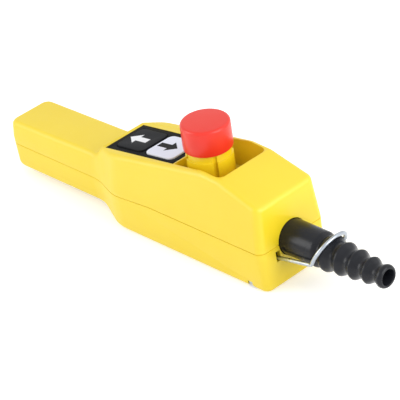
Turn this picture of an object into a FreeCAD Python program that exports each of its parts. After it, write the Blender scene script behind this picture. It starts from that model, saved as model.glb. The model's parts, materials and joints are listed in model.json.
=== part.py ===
import FreeCAD, Part
import math
import os
import Sketcher

# Pendant control station lying on its flat back: grip at -X, cable sleeve at +X,
# +Z out of the button face. The origin is on the back plane, under the middle of the length.

Vector = FreeCAD.Vector
doc = FreeCAD.newDocument("pendant_station")
sheet = doc.addObject("Spreadsheet::Sheet", "sizes")

# driving dimensions, in millimetres and degrees
driving = {
    # shells, from the butt of the grip to the end of the sleeve
    "grip_length": 84.5,
    "deck_setback": 10.3,
    "deck_border": 4.4,
    "stop_offset": 17.3,
    "hood_offset": 29.5,
    "hood_length": 31.8,
    "face_lean": 2.3,
    "sleeve_length": 73.6,
    "flare_length": 23.0,
    "grip_half": 17.5,
    "body_half": 26.7,
    "grip_bottom": 4.8,
    "grip_top": 39.6,
    "grip_fall": 2.2,
    "side_draft": 6.0,
    "back_draft": 3.0,
    "grip_split": 22.0,
    "body_split": 26.6,
    "split_ramp": 55.0,
    "wall": 3.0,
    "inside_relief": 2.0,
    "belly_relief": 6.0,
    "edge_round": 3.4,
    "back_round": 3.0,
    "butt_round": 7.0,
    "end_round": 5.0,
    "flare_round": 34.0,
    "heel_round": 9.0,
    "brow_round": 5.0,
    "brow_lip": 1.4,
    "peak_round": 12.0,
    "belly_round": 12.0,
    "belly_setback": 4.0,
    # button face
    "deck_low": 47.9,
    "deck_tilt": 7.9,
    "deck_half": 16.1,
    "lip": 1.1,
    "rim_peak": 64.8,
    "peak_setback": 14.5,
    "ridge_height": 64.0,
    "hood_end_height": 55.1,
    "rim_slope": 42.0,
    "recess_lead": 0.6,
    "recess_tail": 8.0,
    "recess_height": 14.0,
    "well_floor": 46.0,
    "well_half": 17.6,
    "well_gap": 2.4,
    "well_end_gap": 2.6,
    "ridge_wall": 0.6,
    "well_round": 2.5,
    # bezel, gasket and caps
    "bezel_thickness": 2.6,
    "gasket_thickness": 0.8,
    "fit_gap": 0.15,
    "cap_length": 25.0,
    "cap_width": 23.5,
    "cap_round": 4.0,
    "cap_spacing": 27.0,
    "cap_gap": 0.35,
    "cap_rise": 0.8,
    "cap_depth": 7.0,
    "cap_wall": 1.6,
    "cap_crown": 2.2,
    "cap_stem": 3.5,
    "cap_edge": 0.6,
    "press_travel": 3.5,
    "arrow_length": 16.0,
    "arrow_head": 7.0,
    "arrow_half": 5.3,
    "arrow_shaft": 2.2,
    "arrow_depth": 0.6,
    "arrow_shift": 2.6,
    # contact blocks of the two buttons
    "block_drop": 5.0,
    "block_length": 22.0,
    "block_half": 13.5,
    "block_height": 20.0,
    "block_wall": 2.5,
    "chamber_half": 10.0,
    "ear_half": 19.0,
    "block_floor": 2.0,
    "block_edge": 1.2,
    "ear_length": 8.0,
    "boss_radius": 2.6,
    "boss_offset": 16.3,
    "plunger_radius": 3.0,
    "plunger_collar": 4.5,
    "plunger_tail": 1.9,
    "running_gap": 0.08,
    "bridge_half": 7.5,
    "bridge_width": 7.0,
    "bridge_drop": 9.6,
    "stop_bridge_half": 9.0,
    "stop_reach": 6.2,
    "tail_length": 3.5,
    "collar_height": 1.9,
    "stop_clearance": 0.3,
    "strip": 0.8,
    "contact_gap": 3.9,
    "contact_reach": 5.6,
    "terminal_width": 7.0,
    "terminal_leg": 8.5,
    "wire": 0.6,
    "coil_radius": 2.7,
    "coil_turns": 4,
    "coil_seat": 0.12,
    "terminal_shank": 1.5,
    "terminal_head": 2.8,
    "terminal_grip": 3.8,
    "screw_from_end": 3.2,
    "head_height": 1.8,
    "block_shank": 1.3,
    "block_head": 2.4,
    # emergency stop
    "head_radius": 15.0,
    "head_height_full": 17.2,
    "head_rim": 67.4,
    "head_skirt": 13.9,
    "head_round": 1.8,
    "hub_radius": 6.5,
    "stop_travel": 4.5,
    "collar_radius": 14.3,
    "spigot_radius": 13.3,
    "collar_wall": 1.9,
    "notch_width": 2.6,
    "notch_depth": 1.9,
    "notch_angle": -30.0,
    "stop_gasket_thickness": 0.8,
    "collar_floor": 3.0,
    "spigot_cover": 1.6,
    "skirt_depth": 7.5,
    "shaft_grip": 11.6,
    "shaft_collar": 5.5,
    "bush_tail": 6.0,
    "bush_rim": 2.5,
    "bush_clearance": 1.4,
    "bush_radius": 8.0,
    "bush_flange": 10.4,
    "shaft_radius": 4.0,
    "shaft_gap": 0.05,
    "nut_half": 11.0,
    "nut_height": 4.0,
    "stop_block_length": 24.0,
    "stop_block_height": 22.0,
    "stop_wire": 1.0,
    "stop_coil_radius": 5.2,
    "stop_coil_turns": 3,
    # cable entry
    "sleeve_radius": 11.0,
    "sleeve_bore": 8.0,
    "end_bore": 4.9,
    "end_bore_length": 14.0,
    "rib_count": 5,
    "rib_pitch": 10.0,
    "rib_first": 11.2,
    "rib_last": 7.2,
    "rib_depth": 2.0,
    "rib_half": 2.6,
    "rib_round": 1.5,
    "valley_half": 0.9,
    "bore_taper": 40.0,
    "sleeve_clearance": 0.4,
    "flange_radius": 13.4,
    "flange_thickness": 3.0,
    "end_wall": 4.0,
    "rib_plate": 2.2,
    # bail
    "bail_wire": 1.2,
    "bail_half": 13.5,
    "bail_foot": 5.5,
    "bail_pivot_height": 18.9,
    "bail_inset": 1.6,
    "bail_corner_reach": 31.8,
    "bail_corner_height": 25.0,
    "bail_bend": 2.6,
    "bail_roll": 3.0,
    "bail_seat": 0.3,
    "bail_lean": 0.565,
    "cradle_length": 4.5,
    "slot_width": 3.4,
    "slot_low": 16.8,
    "slot_high": 23.6,
    # fasteners
    "screw_shank": 2.0,
    "screw_head": 3.6,
    "screw_head_height": 2.4,
    "screw_reach": 13.0,
    "cross_reach": 0.6,
    "cross_arm": 0.16,
    "play": 1.0,
    "boss_outer": 3.9,
    "boss_sink": 1.5,
    "foot_height": 2.0,
    "counterbore": 4.0,
    "counterbore_depth": 4.4,
    "screw_inset": 12.0,
    "grip_screw_setback": 9.0,
    "deck_screw_offset": 19.4,
    "stop_screw_offset": 19.2,
    "stop_screw_shift": 21.5,
    "end_screw_offset": 21.9,
    "end_screw_inset": 10.4,
    "clamp_inset": 20.0,
    "clamp_half": 17.0,
    "clamp_screw": 13.0,
    "clamp_width": 8.0,
    "clamp_thickness": 3.0,
    "clamp_rise": 5.4,
    "cable_radius": 4.8,
    "saddle_width": 20.0,
    "saddle_drop": -1.0,
    "clamp_thread": 9.0,
    "lobe_rise": 1.9,
    "lobe_half": 8.0,
    # seal
    "seal_inset": 1.1,
    "seal_width": 1.0,
    "groove_half": 0.3,
    "groove_depth": 0.6,
    "seal_half": 0.8,
}
for row, (word, value) in enumerate(driving.items(), 1):
    sheet.set("A%d" % row, word)
    sheet.set("B%d" % row, str(value))
    sheet.setAlias("B%d" % row, word)
doc.recompute()


class Size:
    """A value together with the sheet expression that it comes from."""

    def __init__(self, value, words):
        self.value = value
        self.words = words

    def __add__(self, other):
        return Size(self.value + number(other), "(%s + %s)" % (self.words, text(other)))

    def __radd__(self, other):
        return Size(number(other) + self.value, "(%s + %s)" % (text(other), self.words))

    def __sub__(self, other):
        return Size(self.value - number(other), "(%s - %s)" % (self.words, text(other)))

    def __rsub__(self, other):
        return Size(number(other) - self.value, "(%s - %s)" % (text(other), self.words))

    def __mul__(self, other):
        return Size(self.value * number(other), "(%s * %s)" % (self.words, text(other)))

    def __rmul__(self, other):
        return Size(number(other) * self.value, "(%s * %s)" % (text(other), self.words))

    def __truediv__(self, other):
        return Size(self.value / number(other), "(%s / %s)" % (self.words, text(other)))

    def __neg__(self):
        return Size(-self.value, "(0 - %s)" % self.words)


class Sheet:
    """Gives each alias of the sheet as a Size."""

    def __getattr__(self, word):
        return Size(float(sheet.get(word)), "sizes." + word)


s = Sheet()


def number(size):
    return size.value if isinstance(size, Size) else float(size)


def text(size):
    return size.words if isinstance(size, Size) else "(%r)" % float(size)


def tangent(angle):
    return Size(math.tan(math.radians(number(angle))), "tan(%s)" % text(angle))


def cosine(angle):
    return Size(math.cos(math.radians(number(angle))), "cos(%s)" % text(angle))


def sine(angle):
    return Size(math.sin(math.radians(number(angle))), "sin(%s)" % text(angle))


def bind(thing, path, size):
    if isinstance(size, Size):
        thing.setExpression(path, size.words)


def place(thing, x=0, y=0, z=0, axis=None, angle=0):
    """Puts a thing at a point, turned about an axis, and ties it to the sheet."""
    turn = FreeCAD.Rotation(axis, number(angle)) if axis else FreeCAD.Rotation()
    thing.Placement = FreeCAD.Placement(Vector(number(x), number(y), number(z)), turn)
    for path, size in (("x", x), ("y", y), ("z", z)):
        bind(thing, "Placement.Base." + path, size)
    if axis:
        bind(thing, "Placement.Rotation.Angle", angle)
    return thing


def outline(sketch, corners):
    """Closed outline through (x, y) or (x, y, radius) corners, each tied to the sheet."""
    points = [Vector(number(c[0]), number(c[1]), 0) for c in corners]
    count = len(points)
    ends = []
    for i, corner in enumerate(corners):
        back = (points[i - 1] - points[i]).normalize()
        ahead = (points[(i + 1) % count] - points[i]).normalize()
        radius = number(corner[2]) if len(corner) > 2 else 0
        reach = radius / math.tan(back.getAngle(ahead) / 2)
        ends.append((points[i] + back * reach, points[i] + ahead * reach, back, ahead))
    rules = []
    ties = []

    def rule(*words):
        rules.append(Sketcher.Constraint(*words))
        return len(rules) - 1

    lines = [sketch.addGeometry(Part.LineSegment(ends[i][1], ends[(i + 1) % count][0]), False)
             for i in range(count)]
    for i, corner in enumerate(corners):
        before = lines[i - 1]
        vertex = lines[i]
        if len(corner) > 2:
            start, end, back, ahead = ends[i]
            radius = number(corner[2])
            inward = (back + ahead).normalize()
            middle = points[i] + inward * (radius / math.sin(back.getAngle(ahead) / 2) - radius)
            arc = sketch.addGeometry(Part.Arc(start, middle, end), False)
            forward = sketch.getPoint(arc, 1).distanceToPoint(start) < 1e-6
            first, last = (1, 2) if forward else (2, 1)
            rule("Tangent", before, 2, arc, first)
            rule("Tangent", arc, last, vertex, 1)
            ties.append((rule("Radius", arc, radius), corner[2]))
            vertex = sketch.addGeometry(Part.Point(points[i]), True)
            rule("PointOnObject", vertex, 1, before)
            rule("PointOnObject", vertex, 1, lines[i])
        else:
            rule("Coincident", before, 2, vertex, 1)
        ties.append((rule("DistanceX", -1, 1, vertex, 1, points[i].x), corner[0]))
        ties.append((rule("DistanceY", -1, 1, vertex, 1, points[i].y), corner[1]))
    base = sketch.ConstraintCount
    sketch.addConstraint(rules)
    for index, size in ties:
        bind(sketch, "Constraints[%d]" % (base + index), size)
    return sketch


def circle(sketch, x, y, radius):
    ring = sketch.addGeometry(Part.Circle(Vector(number(x), number(y), 0), Vector(0, 0, 1),
                                          number(radius)), False)
    base = sketch.ConstraintCount
    sketch.addConstraint([Sketcher.Constraint("DistanceX", -1, 1, ring, 3, number(x)),
                          Sketcher.Constraint("DistanceY", -1, 1, ring, 3, number(y)),
                          Sketcher.Constraint("Radius", ring, number(radius))])
    for step, size in enumerate((x, y, radius)):
        bind(sketch, "Constraints[%d]" % (base + step), size)
    return sketch


def rectangle(left, right, low, high, radius=None):
    corners = [(left, low), (right, low), (right, high), (left, high)]
    return [corner + (radius,) for corner in corners] if radius is not None else corners


def mirrored(corners):
    """Adds the other side of an outline that is symmetric about the X axis."""
    return corners + [(c[0], -c[1]) + tuple(c[2:]) for c in reversed(corners)]


# helpers for forms outside a body

def free_sketch(name, plane, height=0):
    sketch = doc.addObject("Sketcher::SketchObject", name)
    if plane == "XY":
        return place(sketch, z=height)
    if plane == "XZ":
        return place(sketch, y=-height, axis=Vector(1, 0, 0), angle=90)
    return place(sketch, x=height, axis=Vector(1, 1, 1), angle=120)


def extruded(sketch, forward, back=0, taper=0, back_taper=0):
    form = doc.addObject("Part::Extrusion", sketch.Name + "_form")
    form.Base = sketch
    form.DirMode = "Normal"
    form.Solid = True
    for path, size in (("LengthFwd", forward), ("LengthRev", back), ("TaperAngle", taper),
                       ("TaperAngleRev", back_taper)):
        setattr(form, path, number(size))
        bind(form, path, size)
    return form


def cylinder(name, radius, length, x=0, y=0, z=0, axis=None, angle=0):
    form = doc.addObject("Part::Cylinder", name)
    form.Radius = number(radius)
    form.Height = number(length)
    bind(form, "Radius", radius)
    bind(form, "Height", length)
    return place(form, x, y, z, axis, angle)


def box(name, length, width, height, x, y, z):
    """Block centred on x and y, standing on z."""
    form = doc.addObject("Part::Box", name)
    for path, size in (("Length", length), ("Width", width), ("Height", height)):
        setattr(form, path, number(size))
        bind(form, path, size)
    return place(form, x - length / 2, y - width / 2, z)


def joined(name, forms):
    form = doc.addObject("Part::MultiFuse", name)
    form.Shapes = forms
    return form


def shared(name, forms):
    form = doc.addObject("Part::MultiCommon", name)
    form.Shapes = forms
    return form


def cut(name, base, tool):
    form = doc.addObject("Part::Cut", name)
    form.Base = base
    form.Tool = tool
    form.Refine = True
    return form


def group(name, forms):
    form = doc.addObject("Part::Compound", name)
    form.Links = forms
    return form


# helpers for bodies

def new_body(label):
    return doc.addObject("PartDesign::Body", label)


def sketch_in(owner, name, plane, height=0):
    sketch = owner.newObject("Sketcher::SketchObject", owner.Name + "_" + name)
    base = [item for item in owner.Origin.OriginFeatures if item.Role == plane + "_Plane"][0]
    sketch.AttachmentSupport = (base, [""])
    sketch.MapMode = "FlatFace"
    sketch.AttachmentOffset = FreeCAD.Placement(Vector(0, 0, number(height)), FreeCAD.Rotation())
    bind(sketch, "AttachmentOffset.Base.z", height)
    return sketch


def pad(sketch, length, both=False):
    owner = sketch.getParentGeoFeatureGroup()
    form = owner.newObject("PartDesign::Pad", sketch.Name + "_pad")
    form.Profile = sketch
    form.SideType = "Symmetric" if both else "One side"
    form.Length = number(length)
    bind(form, "Length", length)
    return owner


def pocket(sketch, length, both=False):
    owner = sketch.getParentGeoFeatureGroup()
    form = owner.newObject("PartDesign::Pocket", sketch.Name + "_pocket")
    form.Profile = sketch
    form.SideType = "Symmetric" if both else "One side"
    form.Length = number(length)
    bind(form, "Length", length)
    return owner


def turned(label, corners, axis="V_Axis"):
    owner = new_body(label)
    sketch = outline(sketch_in(owner, "profile", "XZ"), corners)
    form = owner.newObject("PartDesign::Revolution", label + "_turn")
    form.Profile = sketch
    form.ReferenceAxis = (sketch, [axis])
    form.Angle = 360
    return owner


def rounded(owner, radius, chosen):
    """Fillets the edges of the body's tip that the test picks."""
    doc.recompute()
    tip = owner.Tip
    names = ["Edge%d" % (i + 1) for i, edge in enumerate(tip.Shape.Edges) if chosen(edge)]
    form = owner.newObject("PartDesign::Fillet", owner.Name + "_round")
    form.Base = (tip, names)
    form.Radius = number(radius)
    bind(form, "Radius", radius)
    return owner


parts = []


def keep(thing, label):
    thing.Label = label
    parts.append(thing)
    return thing


# places along the length, worked out from the chain of lengths
deck_length = s.cap_spacing + s.cap_length + 2 * s.deck_border
overall = (s.grip_length + s.deck_setback + deck_length * cosine(s.deck_tilt) + s.stop_offset
           + s.hood_offset + s.hood_length + s.face_lean + s.sleeve_length)
butt_x = -overall / 2
flare_x = butt_x + s.grip_length
flare_end_x = flare_x + s.flare_length
deck_x = flare_x + s.deck_setback
deck_end_x = deck_x + deck_length * cosine(s.deck_tilt)
deck_high = s.deck_low + deck_length * sine(s.deck_tilt)
stop_x = deck_end_x + s.stop_offset
ridge_x = stop_x + s.hood_offset
hood_end_x = ridge_x + s.hood_length
face_x = hood_end_x + s.face_lean
sleeve_end_x = face_x + s.sleeve_length
inner_face_x = face_x - s.end_wall
face_at_joint = face_x - s.face_lean * s.body_split.value / s.hood_end_height.value
axis_z = s.body_split
deck_pocket = s.bezel_thickness + s.gasket_thickness
deck_floor = deck_pocket + s.wall
inner_floor = s.wall - s.play
flange_x = inner_face_x - s.flange_thickness
bail_pivot_x = inner_face_x - s.bail_inset
bail_pivot_z = s.bail_pivot_height
bail_shift = (axis_z - s.bail_pivot_height) * sine(s.bail_roll)

# reach of tools that only have to pass right through
deep = 50.0
far = 60.0
plan_up = 45.0
plan_down = 30.0
past_end = 10.0


def shell_plan(name, inset, forward, back):
    """Plan outline of the shells, grown up and down from the joint line with draft."""
    sketch = free_sketch(name, "XY", s.body_split)
    outline(sketch, mirrored([
        (butt_x + inset, s.grip_half - inset, s.butt_round - inset),
        (flare_x, s.grip_half - inset, s.flare_round + inset),
        (flare_end_x, s.body_half - inset, s.flare_round - inset),
        (face_x + past_end, s.body_half - inset),
    ]))
    return extruded(sketch, forward, back, -s.side_draft, -s.back_draft)


side_outer = outline(free_sketch("side_outer", "XZ"), [
    (butt_x, s.grip_bottom, s.heel_round),
    (butt_x, s.grip_top - s.grip_fall),
    (flare_x, s.grip_top, 2 * s.brow_round),
    (deck_x - s.brow_lip, s.deck_low + s.lip, s.brow_round),
    (stop_x + s.peak_setback, s.rim_peak, s.peak_round),
    (ridge_x, s.ridge_height, s.brow_round),
    (hood_end_x, s.hood_end_height),
    (face_x, 0),
    (flare_end_x - s.belly_setback, 0, s.belly_round),
    (flare_x + s.belly_setback, s.grip_bottom, s.belly_round),
])
outer = shared("outer_form", [shell_plan("plan_outer", 0.0, plan_up, plan_down),
                              extruded(side_outer, far, far)])
sharp = 15.0
upright = 15.0
end_zone = 4.0


def crease(shape, edge):
    """Angle in degrees between the two faces that meet at an edge, at its middle."""
    faces = shape.ancestorsOfType(edge, Part.Face)
    if len(faces) < 2:
        return 0.0
    middle = edge.valueAt((edge.FirstParameter + edge.LastParameter) / 2)
    normals = [face.normalAt(*face.Surface.parameter(middle)) for face in faces[:2]]
    return math.degrees(normals[0].getAngle(normals[1]))


def filleted(name, base, radius_of):
    """Rounds each sharp edge by the radius that the rule gives it, or leaves it for none."""
    doc.recompute()
    form = doc.addObject("Part::Fillet", name)
    form.Base = base
    chosen = []
    for i, edge in enumerate(base.Shape.Edges):
        radius = radius_of(edge) if crease(base.Shape, edge) > sharp else None
        if radius:
            chosen.append((i + 1, number(radius), number(radius)))
    form.Edges = chosen
    return form


def shell_round(edge):
    """Round of an edge: upright ones at the hood's end, those of the back, and the rest."""
    bounds = edge.BoundBox
    if bounds.ZMax - bounds.ZMin > upright and bounds.XMin > number(hood_end_x) - end_zone:
        return s.end_round
    return s.back_round if bounds.ZMax < number(s.grip_split) else s.edge_round


rounded_form = filleted("rounded_form", outer, shell_round)


def deck_point(x, z):
    """World x and z of a point in the tilted frame of the button deck."""
    return (deck_x + x * cosine(s.deck_tilt) - z * sine(s.deck_tilt),
            s.deck_low + x * sine(s.deck_tilt) + z * cosine(s.deck_tilt))


tilt_axis = Vector(0, -1, 0)


def on_deck(thing, x=0, y=0, z=0):
    """Places a thing in the tilted frame of the button deck."""
    world_x, world_z = deck_point(x, z)
    return place(thing, world_x, y, world_z, tilt_axis, s.deck_tilt)


def deck_sketch(name, z):
    return on_deck(doc.addObject("Sketcher::SketchObject", name), z=z)


cap_centres = (deck_length / 2 - s.cap_spacing / 2, deck_length / 2 + s.cap_spacing / 2)

# hollow inside of the shells
roof_slope = (s.ridge_height - s.hood_end_height) / s.hood_length
under_deck = [deck_point(0.0, -deck_floor), deck_point(deck_length - s.ridge_wall, -deck_floor)]
well_start_x = deck_end_x + s.well_gap
well_end_x = ridge_x - s.well_end_gap
under_well = s.well_floor - s.wall
side_inner = outline(free_sketch("side_inner", "XZ"), [
    (butt_x + s.wall, s.grip_bottom + s.wall),
    (butt_x + s.wall, s.grip_top - s.grip_fall - s.wall),
    (flare_x + s.inside_relief, s.grip_top - s.wall),
    under_deck[0],
    under_deck[1],
    (under_deck[1][0], under_well),
    (ridge_x + s.ridge_wall, under_well),
    (ridge_x + s.well_gap, s.ridge_height - 1.3 * s.wall),
    (inner_face_x, s.hood_end_height - s.wall + roof_slope),
    (inner_face_x, s.wall),
    (flare_end_x - s.inside_relief, s.wall),
    (flare_x + s.belly_relief, s.grip_bottom + s.wall),
])
core = shared("core", [shell_plan("plan_inner", s.wall, plan_up, plan_down), extruded(side_inner, far, far)])

# screws that close the shells: x, y, bottom of the shell there, joint height, top of the boss
deck_screw_x = deck_x + deck_length / 2 + s.cap_wall
shell_screws = [
    (butt_x + s.screw_inset, 0.0, s.grip_bottom, s.grip_split,
     s.grip_top - s.grip_fall - s.boss_sink),
    (flare_x - s.grip_screw_setback, 0.0, s.grip_bottom, s.grip_split, s.grip_top - s.boss_sink),
]
for side in (-1, 1):
    shell_screws.append((deck_screw_x, side * s.deck_screw_offset, 0.0, s.body_split,
                         s.well_floor - s.boss_sink))
    shell_screws.append((stop_x + s.stop_screw_shift, side * s.stop_screw_offset, 0.0,
                         s.body_split, under_well + s.boss_sink))
    shell_screws.append((inner_face_x - s.end_screw_inset, side * s.end_screw_offset, 0.0,
                         s.body_split, under_well))
bosses = []
for i, (x, y, low, split, top) in enumerate(shell_screws):
    bosses.append(cylinder("boss_%d" % i, s.boss_outer, top - low, x, y, low))
    bosses.append(cylinder("boss_foot_%d" % i, s.counterbore + s.cap_wall,
                           s.counterbore_depth + s.foot_height, x, y, low))
flange_stop_x = flange_x - s.cap_gap
flange_plate = box("flange_plate", s.rib_plate, 2 * s.clamp_half, axis_z - inner_floor - s.cap_gap,
                   flange_stop_x - s.rib_plate / 2, 0.0, inner_floor)
along_x = Vector(0, 1, 0)
plate_hole = cylinder("plate_hole", s.sleeve_bore + s.play, 2 * s.end_wall, flange_stop_x - s.end_wall,
                      0, axis_z, along_x, 90)
block_bosses = []
for i, centre in enumerate(cap_centres):
    for side in (-1, 1):
        boss = doc.addObject("Part::Cylinder", "block_boss_%d_%d" % (i, side + 1))
        for path, size in (("Radius", s.boss_radius), ("Height", s.block_drop + s.play)):
            setattr(boss, path, number(size))
            bind(boss, path, size)
        block_bosses.append(on_deck(boss, centre, side * s.boss_offset, -deck_floor - s.block_drop))
inside = shared("inside", [rounded_form,
                           joined("boss_forms", bosses + [cut("plate", flange_plate, plate_hole)])])
shell = joined("shell", [cut("hollow_shell", rounded_form, core), inside] + block_bosses)

# what is cut from the shells
face_recess = outline(deck_sketch("face_recess", 0.0),
                      rectangle(-s.recess_lead, (stop_x - deck_x) + s.recess_tail,
                                -s.deck_half - s.fit_gap, s.deck_half + s.fit_gap))
bezel_pocket = outline(deck_sketch("bezel_pocket", -deck_pocket),
                       rectangle(-s.fit_gap, deck_length + s.fit_gap, -s.deck_half - s.fit_gap,
                                 s.deck_half + s.fit_gap))
well = outline(free_sketch("well", "XY", s.well_floor),
               rectangle(well_start_x, well_end_x, -s.well_half, s.well_half, s.well_round))
cuts = [extruded(face_recess, s.recess_height, 0, s.rim_slope), extruded(bezel_pocket, s.recess_height),
        extruded(well, plan_down, 0, s.side_draft)]
for i, centre in enumerate(cap_centres):
    window = outline(deck_sketch("window_%d" % i, -deck_floor - s.play),
                     rectangle(centre - s.cap_length / 2 - s.cap_gap, centre + s.cap_length / 2 + s.cap_gap,
                               -s.cap_width / 2 - s.cap_gap, s.cap_width / 2 + s.cap_gap, s.cap_round))
    cuts.append(extruded(window, deck_floor + s.play))
    for side in (-1, 1):
        pilot = doc.addObject("Part::Cylinder", "block_pilot_%d_%d" % (i, side + 1))
        for path, size in (("Radius", s.block_shank + s.shaft_gap), ("Height", s.block_drop + s.play)):
            setattr(pilot, path, number(size))
            bind(pilot, path, size)
        cuts.append(on_deck(pilot, centre, side * s.boss_offset, -deck_floor - s.block_drop - s.fit_gap))
cuts.append(cylinder("bush_hole", s.bush_radius + s.running_gap, s.wall + 2 * s.play, stop_x, 0,
                     under_well - s.play))
cuts.append(cylinder("sleeve_hole", s.sleeve_radius + s.sleeve_clearance, past_end, inner_face_x - s.play,
                     0, axis_z, along_x, 90))
for i, (x, y, low, split, top) in enumerate(shell_screws):
    cuts.append(cylinder("pilot_%d" % i, s.screw_shank + s.shaft_gap, split - low + s.screw_reach,
                         x, y, low))
    cuts.append(cylinder("counterbore_%d" % i, s.counterbore, s.counterbore_depth + s.play,
                         x, y, low - s.play))
for side in (-1, 1):
    cuts.append(box("bail_slot_%d" % (side + 1), past_end, s.slot_width, s.slot_high - s.slot_low,
                    inner_face_x - s.play + past_end / 2, side * s.bail_half + bail_shift, s.slot_low))


def split_band(name, below, above):
    """Slab that follows the joint between the shells, from one height under it to one over it."""
    return extruded(outline(free_sketch(name, "XZ"), [
        (butt_x - past_end, s.grip_split - below), (flare_x, s.grip_split - below),
        (flare_x + s.split_ramp, s.body_split - below), (face_x + past_end, s.body_split - below),
        (face_x + past_end, s.body_split + above), (flare_x + s.split_ramp, s.body_split + above),
        (flare_x, s.grip_split + above), (butt_x - past_end, s.grip_split + above)]), far, far)


def straight_plan(name, inset):
    """Plan outline of the shells at the joint, without draft, over the height of the joint's ramp."""
    sketch = free_sketch(name, "XY", s.grip_split - s.wall)
    outline(sketch, mirrored([
        (butt_x + inset, s.grip_half - inset, s.butt_round - inset),
        (flare_x, s.grip_half - inset, s.flare_round + inset),
        (flare_end_x, s.body_half - inset, s.flare_round - inset),
        (face_at_joint - inset, s.body_half - inset, s.end_round - inset),
    ]))
    return extruded(sketch, s.body_split - s.grip_split + 2 * s.wall)


seal_ring = shared("seal_ring", [
    split_band("seal_band", s.seal_half, s.seal_half),
    cut("seal_wall", straight_plan("seal_outer", s.seal_inset),
        straight_plan("seal_inner", s.seal_inset + s.seal_width))])
seal_break = cylinder("seal_break", s.flange_radius + s.bail_seat, 2 * past_end, inner_face_x - past_end,
                      0, axis_z, along_x, 90)
cover_seal = keep(cut("cover_seal", seal_ring, seal_break), "cover_seal")
groove = shared("groove", [
    split_band("groove_band", s.groove_half, s.groove_half),
    cut("groove_wall", straight_plan("groove_outer", -s.play),
        straight_plan("groove_inner", s.groove_depth))])
open_shell = cut("open_shell", shell, joined("cuts", cuts + [cover_seal, groove]))

upper_housing = keep(shared("upper_housing", [open_shell, split_band("above", 0.0, deep)]), "upper_housing")

# back cover: the lower half with its clamp posts, cable saddle and bail cradles
clamp_x = inner_face_x - s.clamp_inset
clamp_seat = axis_z + s.clamp_rise
posts = [box("saddle", s.clamp_width - 2 * s.cap_gap, s.saddle_width, axis_z - s.wall - s.saddle_drop,
             clamp_x, 0.0, inner_floor)]
for side in (-1, 1):
    posts.append(cylinder("clamp_post_%d" % (side + 1), s.boss_outer, clamp_seat - inner_floor,
                          clamp_x, side * s.clamp_screw, inner_floor))
    cradle_y = side * (s.bail_half + s.bail_foot / 2)
    cradle_top = bail_pivot_z + cradle_y * tangent(s.bail_roll) - s.bail_wire - s.bail_seat
    posts.append(box("cradle_%d" % (side + 1), s.cradle_length, s.wall, cradle_top - inner_floor,
                     inner_face_x - s.cradle_length / 2, cradle_y, inner_floor))
hollows = [cylinder("saddle_groove", s.cable_radius, s.saddle_width, clamp_x - s.saddle_width / 2,
                    0, axis_z, along_x, 90)]
for side in (-1, 1):
    hollows.append(cylinder("post_hole_%d" % (side + 1), s.screw_shank + s.shaft_gap,
                            s.clamp_thread + s.play, clamp_x, side * s.clamp_screw,
                            clamp_seat - s.clamp_thread))
lower_shell = shared("lower_shell", [open_shell, split_band("below", deep, 0.0)])
lower_half = joined("lower_half", [lower_shell] + posts)
back_cover = keep(cut("back_cover", lower_half, joined("cover_cuts", hollows)), "back_cover")


# fasteners

def screw(name, head_radius, head_height, shank_radius, length):
    """Pan-head screw that stands on its head, the seat of the head at the origin."""
    owner = turned(name, [
        (0.0, -head_height), (head_radius - head_height / 3, -head_height),
        (head_radius, -head_height / 2), (head_radius, 0.0),
        (shank_radius, 0.0), (shank_radius, length - shank_radius / 2), (shank_radius / 2, length),
        (0.0, length)])
    reach = head_radius * s.cross_reach
    arm = head_radius * s.cross_arm
    corners = [(reach, arm), (arm, arm), (arm, reach), (-arm, reach), (-arm, arm), (-reach, arm),
               (-reach, -arm), (-arm, -arm), (-arm, -reach), (arm, -reach), (arm, -arm), (reach, -arm)]
    return pocket(outline(sketch_in(owner, "cross", "XY", -head_height), corners), head_height, True)


grip_screws = []
cover_screws = []
for i, (x, y, low, split, top) in enumerate(shell_screws):
    seat = low + s.counterbore_depth
    made = screw("shell_screw_%d" % i, s.screw_head, s.screw_head_height, s.screw_shank,
                 split + s.screw_reach - s.play - seat)
    place(made, x, y, seat)
    (grip_screws if i < 2 else cover_screws).append(made)
keep(group("grip_screws", grip_screws), "grip_screws")
keep(group("cover_screws", cover_screws), "cover_screws")

clamp_screws = []
for side in (-1, 1):
    made = screw("clamp_screw_%d" % (side + 1), s.screw_head, s.screw_head_height, s.screw_shank,
                 s.clamp_thickness + s.clamp_thread - s.play)
    clamp_screws.append(place(made, clamp_x, side * s.clamp_screw, clamp_seat + s.clamp_thickness,
                              Vector(1, 0, 0), 180))
keep(group("clamp_screws", clamp_screws), "clamp_screws")


# bezel, gasket, caps and arrows, all in the tilted frame of the deck

def framed_plate(label, low, thickness, window_gap):
    owner = new_body(label)
    sketch = outline(sketch_in(owner, "plan", "XY", low),
                     rectangle(0.0, deck_length, -s.deck_half, s.deck_half))
    for centre in cap_centres:
        half = s.cap_length / 2 + window_gap
        outline(sketch, rectangle(centre - half, centre + half, -s.cap_width / 2 - window_gap,
                                  s.cap_width / 2 + window_gap, s.cap_round))
    return keep(on_deck(pad(sketch, thickness)), label)


framed_plate("deck_bezel", -s.bezel_thickness, s.bezel_thickness, s.cap_gap)
framed_plate("bezel_gasket", -deck_pocket, s.gasket_thickness, s.cap_gap)

block_top = -(deck_floor + s.block_drop)
block_low = block_top - s.block_height
chamber_top = block_top - s.block_wall
chamber_low = block_low + s.block_floor
bridge_top = block_top - s.bridge_drop
contact_top = bridge_top - s.strip - s.contact_gap
stem_low = block_top + s.press_travel + s.stop_clearance


def arrow_corners(way):
    """Arrow that points along X, one way or the other."""
    tip = way * s.arrow_length / 2 - s.arrow_shift
    neck = tip - way * s.arrow_head
    tail = tip - way * s.arrow_length
    return mirrored([(neck, s.arrow_half), (neck, s.arrow_shaft), (tail, s.arrow_shaft)])[:3] + [
        (tail, -s.arrow_shaft), (neck, -s.arrow_shaft), (neck, -s.arrow_half), (tip, 0.0)]


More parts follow.
